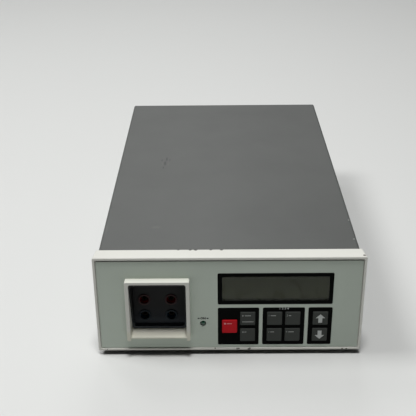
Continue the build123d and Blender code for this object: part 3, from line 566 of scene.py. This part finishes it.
def display_cell():
    """Unlit liquid crystal cell: olive grey with two lines of faint character cells."""
    finish = Finish("display_cell", cell_olive, roughness=0.25)
    low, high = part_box("display_glass")
    passed = finish.parts(finish.vector("SUBTRACT", finish.place, low))
    inside = 1.0
    for row in character_rows:
        axis = row["axis"]
        share = finish.math("DIVIDE", passed[axis], (high - low)[axis])
        cells = in_cells(finish, share, row["count"], row["margin"], row["gap"])
        inside = finish.math("MULTIPLY", cells, inside)
    finish.shade(inside, factor=0.93)
    finish.cloud(size=30 * mm, start=0.35, end=0.75, factor=0.95)
    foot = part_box("display_frame")[0].z
    frame_shadow = finish.along(z_axis, foot + 8.5 * mm, foot + 5.0 * mm)
    finish.shade(frame_shadow, factor=0.28)
    finish.roughen(finish.noise(size=12 * mm, detail=2), amount=0.06)
    return finish.done()


def lamp_lens():
    """Unlit green lamp: dark, clear and glossy."""
    finish = Finish("lamp_lens", lamp_green, roughness=0.12)
    finish.cloud(size=1.5 * mm, start=0.4, end=0.7, factor=0.8, detail=2)
    finish.shader.inputs["Coat Weight"].default_value = 0.6
    finish.bump(finish.noise(size=1.2 * mm, detail=2), depth=0.01 * mm)
    return finish.done()


def winding_tape():
    """Yellow winding tape, its turns showing as fine ridges."""
    finish = Finish("winding_tape", tape_yellow, roughness=0.42)
    turns = finish.texture("Wave", scale=60.0, wave_type="RINGS", rings_direction="Z")
    turns.inputs["Distortion"].default_value = 1.5
    finish.shade(turns.outputs["Fac"], factor=0.82)
    finish.bump(turns.outputs["Fac"], depth=0.1 * mm)
    return finish.done()


def fuse_glass():
    """Pale glass, faintly clouded."""
    finish = Finish("fuse_glass", glass_clear, roughness=0.12)
    haze = finish.noise(size=4 * mm, detail=2)
    finish.shade(finish.between(haze, start=0.4, end=0.6), factor=0.85)
    finish.roughen(haze, amount=0.1)
    return finish.done()


def ribbon_grey():
    """Grey ribbon cable with a ridge for each conductor."""
    finish = Finish("ribbon_grey", cable_grey, roughness=0.45)
    ridges = finish.texture("Wave", scale=250.0, bands_direction="X").outputs["Fac"]
    finish.shade(ridges, factor=0.8)
    finish.bump(ridges, depth=0.25 * mm)
    return finish.done()


mouldings = {
    "panel_plastic": {"colour": panel_grey},
    "black_plastic": {"colour": near_black, "roughness": 0.42},
    "black_frame": {"colour": near_black, "roughness": 0.5, "relief": 0.01 * mm, "shine": 0.03},
    "rear_paint": {"colour": rear_grey, "roughness": 0.5, "relief": 0.04 * mm},
    "rocker_plastic": {"colour": rocker_black, "roughness": 0.28, "relief": 0.006 * mm},
    "capacitor_can": {"colour": can_blue, "roughness": 0.3},
    "ferrite": {"colour": core_grey, "roughness": 0.6},
    "lead_cover": {"colour": lead_red, "roughness": 0.4},
    "red_key": {"colour": key_red, "roughness": 0.5, "shine": 0.15},
    "dark_key": {"colour": key_grey, "roughness": 0.55, "shine": 0.15},
}
inks = {
    "legend_white": legend_white,
    "legend_pink": legend_pink,
    "arrow_white": arrow_white,
    "legend_black": legend_black,
}
metals = {
    "contact_brass": {"colour": brass, "roughness": 0.4},
    "dark_brass": {"colour": brass_in_shade, "roughness": 0.6},
    "plated_steel": {"colour": bright_steel, "roughness": 0.28},
    "chassis_steel": {"colour": zinc_steel, "roughness": 0.45, "spangle": True},
    "heat_sink_metal": {"colour": black_aluminium, "roughness": 0.4},
}
finishes = {
    "bezel_plastic": bezel_plastic(),
    "panel_film": panel_film(),
    "hood_plastic": hood_plastic(),
    "cup_plastic": cup_plastic(),
    "red_shroud": shroud_plastic("red_shroud", shroud_red, shroud_red_painted_light),
    "blue_shroud": shroud_plastic("blue_shroud", shroud_blue, shroud_blue_painted_light),
    "display_window": display_window(),
    "display_cell": display_cell(),
    "lamp_lens": lamp_lens(),
    "cover_paint": cover_paint(),
    "foot_rubber": foot_rubber(),
    "circuit_board": circuit_board(),
    "fuse_glass": fuse_glass(),
    "winding_tape": winding_tape(),
    "ribbon_grey": ribbon_grey(),
}
for name, look in mouldings.items():
    finishes[name] = moulded(name, **look).done()
for name, colour in inks.items():
    finishes[name] = moulded(name, colour, roughness=0.5, relief=0.004 * mm).done()
for name, look in metals.items():
    finishes[name] = metal(name, **look)

# CAD nodes that take another finish than the one of their slot
own_finish = {
    "socket_cup": "cup_plastic",
    "socket_plate": "cup_plastic",
    "socket_contacts": "dark_brass",
}
for node in frame["record"]["subparts"]:
    name = node["node"]
    mesh = frame["nodes"][name].data
    for index in range(len(mesh.materials)):
        mesh.materials[index] = finishes[own_finish.get(name, node["material_slot"])]

# Legends: thin plates, each sunk a little into the face that carries it
proud = 0.05 * mm
sunk = 0.02 * mm
letter_steps = 3

# Print on the keys: distances from a key's left and top edges, and of bars
# from the place where the print starts to their near and far ends
symbol_margin = 2.7 * mm
number_margin = 1.9 * mm
print_drop = 4.6 * mm
lower_print_drop = 11.4 * mm
symbol_tall = 1.8 * mm
bar_tall = 0.8 * mm
stop_bar = (2.5 * mm, 7.4 * mm)
run_bar = (2.5 * mm, 8.2 * mm)
run_lower_bar = (0.0, 10.8 * mm)
pause_strokes = (0.4 * mm, 1.7 * mm)
pause_stroke_wide = 0.7 * mm
pause_bar = (2.7 * mm, 4.1 * mm)
number_tall = 2.7 * mm
number_half_wide = 0.7 * mm
number_bar_start = 2.2 * mm
number_bar_ends = (7.2 * mm, 4.4 * mm, 5.9 * mm, 7.4 * mm)
arrow_tip = 4.7 * mm
arrow_shoulder = 0.4 * mm
arrow_head_half = 4.5 * mm
arrow_stem_half = 1.85 * mm

# Print on the panel: numbers below the top of the middle key surround, and a
# word with its dashes above the lamp
numbers_drop = 2.6 * mm
numbers_tall = 3.3 * mm
numbers_bold = 0.05 * mm
lamp_word_rise = 2.7 * mm
lamp_word_tall = 3.2 * mm
lamp_word_bold = 0.16 * mm
dash_shift = 4.2 * mm
dash_size = (1.8 * mm, 1.3 * mm)


def carried(name, mesh, body, finish):
    """Adds a printed piece that moves with a body."""
    mesh.materials.clear()
    mesh.materials.append(finishes[finish])
    piece = placed(name, mesh)
    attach(piece, body)


def plate(name, outlines, carrier, body, finish):
    """Flat plate on a front face, from outlines of (x, z) points in metres."""
    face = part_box(carrier)[0].y
    vertices = []
    faces = []
    for outline in outlines:
        count = len(outline)
        start = len(vertices)
        for depth in (face - proud, face + sunk):
            vertices += [(x, depth, z) for x, z in outline]
        near = list(range(start, start + count))
        far = [index + count for index in near]
        faces.append(near)
        faces.append(far[::-1])
        for index in range(count):
            after = (index + 1) % count
            faces.append((near[after], near[index], far[index], far[after]))
    mesh = bpy.data.meshes.new(name)
    mesh.from_pydata(vertices, [], faces)
    mesh.validate()
    carried(name, mesh, body, finish)


def written(name, words, height, centre, carrier, body, finish, bold=0.0):
    """Printed characters on a front face, as a thin mesh."""
    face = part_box(carrier)[0].y
    curve = bpy.data.curves.new(name, "FONT")
    curve.body = words
    curve.size = height
    curve.offset = bold
    curve.extrude = (proud + sunk) / 2
    curve.align_x = "CENTER"
    curve.align_y = "CENTER"
    curve.resolution_u = letter_steps
    letters = bpy.data.objects.new(name + "_curve", curve)
    mesh = bpy.data.meshes.new_from_object(letters)
    mesh.name = name
    bpy.data.objects.remove(letters)
    bpy.data.curves.remove(curve)
    middle = (centre[0], face + (sunk - proud) / 2, centre[1])
    upright = Matrix.Rotation(math.pi / 2, 4, "X")
    mesh.transform(Matrix.Translation(middle) @ upright)
    carried(name, mesh, body, finish)


def rectangle(centre, size):
    """Outline of an upright rectangle."""
    (x, z), (wide, tall) = centre, size
    return [
        (x - wide / 2, z - tall / 2),
        (x + wide / 2, z - tall / 2),
        (x + wide / 2, z + tall / 2),
        (x - wide / 2, z + tall / 2),
    ]


def bar(start, ends):
    """Printed bar between two distances right of a place."""
    (x, z), (near, far) = start, ends
    return rectangle((x + (near + far) / 2, z), (far - near, bar_tall))


def arrow(key, direction):
    """Broad arrow in the middle of a key, up for direction 1 and down for -1."""
    low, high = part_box(key)
    x = (low.x + high.x) / 2
    z = (low.z + high.z) / 2
    outline = [
        (x, z + direction * arrow_tip),
        (x - arrow_head_half, z + direction * arrow_shoulder),
        (x - arrow_stem_half, z + direction * arrow_shoulder),
        (x - arrow_stem_half, z - direction * arrow_tip),
        (x + arrow_stem_half, z - direction * arrow_tip),
        (x + arrow_stem_half, z + direction * arrow_shoulder),
        (x + arrow_head_half, z + direction * arrow_shoulder),
    ]
    return outline if direction > 0 else outline[::-1]


def print_start(key, margin, drop=print_drop):
    """Left end and middle height of what is printed on a key."""
    low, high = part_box(key)
    return (low.x + margin, high.z - drop)


def key_symbol(key, outlines, finish="legend_white"):
    """Adds a key's printed plate, which moves with the key."""
    plate(f"{key}_symbol", outlines, key, key, finish)


def stop_symbol():
    """Square and a bar."""
    x, z = print_start("key_stop", symbol_margin)
    square = rectangle((x + symbol_tall / 2, z), (symbol_tall, symbol_tall))
    key_symbol("key_stop", [square, bar((x, z), stop_bar)], "legend_pink")


def run_symbol():
    """Triangle and a bar, with a second bar below them."""
    half = symbol_tall / 2
    x, z = print_start("key_run", symbol_margin)
    lower = print_start("key_run", symbol_margin, lower_print_drop)
    triangle = [(x, z - half), (x + symbol_tall, z), (x, z + half)]
    key_symbol("key_run", [triangle, bar((x, z), run_bar), bar(lower, run_lower_bar)])


def pause_symbol():
    """Two upright strokes and a bar."""
    x, z = print_start("key_pause", symbol_margin)
    size = (pause_stroke_wide, symbol_tall)
    strokes = [rectangle((x + shift, z), size) for shift in pause_strokes]
    key_symbol("key_pause", [*strokes, bar((x, z), pause_bar)])


def program_symbols():
    """A number and a bar on each of the middle keys."""
    for number, bar_end in enumerate(number_bar_ends, start=1):
        key = f"key_program_{number}"
        x, z = print_start(key, number_margin)
        centre = (x + number_half_wide, z)
        written(
            f"{key}_number", str(number), number_tall, centre,
            key, key, "legend_white",
        )
        key_symbol(key, [bar((x, z), (number_bar_start, bar_end))])


def panel_legends():
    """Numbers above the middle keys, and ON between two dashes above the lamp."""
    low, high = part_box("key_frame_middle")
    centre = ((low.x + high.x) / 2, high.z - numbers_drop)
    written(
        "middle_keys_numbers", "1 2 3 4", numbers_tall, centre,
        "key_frame_middle", "case", "arrow_white", bold=numbers_bold,
    )
    low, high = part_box("indicator_lamp")
    x = (low.x + high.x) / 2
    z = high.z + lamp_word_rise
    written(
        "lamp_legend", "ON", lamp_word_tall, (x, z),
        "panel_overlay", "case", "legend_black", bold=lamp_word_bold,
    )
    dashes = [rectangle((x + shift, z), dash_size) for shift in (-dash_shift, dash_shift)]
    plate("lamp_legend_dashes", dashes, "panel_overlay", "case", "legend_black")


stop_symbol()
run_symbol()
pause_symbol()
program_symbols()
key_symbol("key_up", [arrow("key_up", 1)], "arrow_white")
key_symbol("key_down", [arrow("key_down", -1)], "arrow_white")
panel_legends()


# Stage, light and camera
def table():
    """Plain pale table top."""
    mesh = bpy.data.meshes.new("table_top")
    corners = rectangle((0.0, 0.0), (2 * table_half, 2 * table_half))
    mesh.from_pydata([(x, y, 0.0) for x, y in corners], [], [(0, 1, 2, 3)])
    finish = Finish("table_top", table_pale, roughness=0.6)
    finish.shade(finish.noise(size=0.5), factor=0.985)
    mesh.materials.append(finish.done())
    placed("table_top", mesh)


def soft_light(name, place, size, power):
    """Round area light that shines at the middle of the object's foot."""
    lamp = bpy.data.lights.new(name, "AREA")
    lamp.shape = "DISK"
    lamp.size = size
    lamp.energy = power
    piece = placed(name, lamp)
    piece.location = place
    piece.rotation_mode = "QUATERNION"
    piece.rotation_quaternion = (-Vector(place)).to_track_quat("-Z", "Y")


def room():
    """Even pale light from all round."""
    world = bpy.data.worlds.new("room")
    world.use_nodes = True
    background = world.node_tree.nodes["Background"]
    background.inputs["Color"].default_value = room_colour
    background.inputs["Strength"].default_value = room_light
    bpy.context.scene.world = world


def place_camera():
    """Camera at the photograph's place, looking down and slightly turned."""
    forward = Vector((
        math.sin(camera_yaw) * math.cos(camera_down),
        math.cos(camera_yaw) * math.cos(camera_down),
        -math.sin(camera_down),
    ))
    level = Vector((math.cos(camera_yaw), -math.sin(camera_yaw), 0.0))
    upward = level.cross(forward)
    right = math.cos(camera_roll) * level + math.sin(camera_roll) * upward
    top = -math.sin(camera_roll) * level + math.cos(camera_roll) * upward
    turn = Matrix((right, top, -forward)).transposed()
    camera = bpy.data.cameras.new("camera")
    camera.lens = camera_lens
    camera.sensor_width = sensor_width
    piece = placed("camera", camera)
    piece.matrix_world = Matrix.Translation(camera_place) @ turn.to_4x4()
    bpy.context.scene.camera = piece


table()
room()
for name, light in lights.items():
    soft_light(name, **light)
place_camera()
bpy.context.scene.view_settings.view_transform = "Standard"
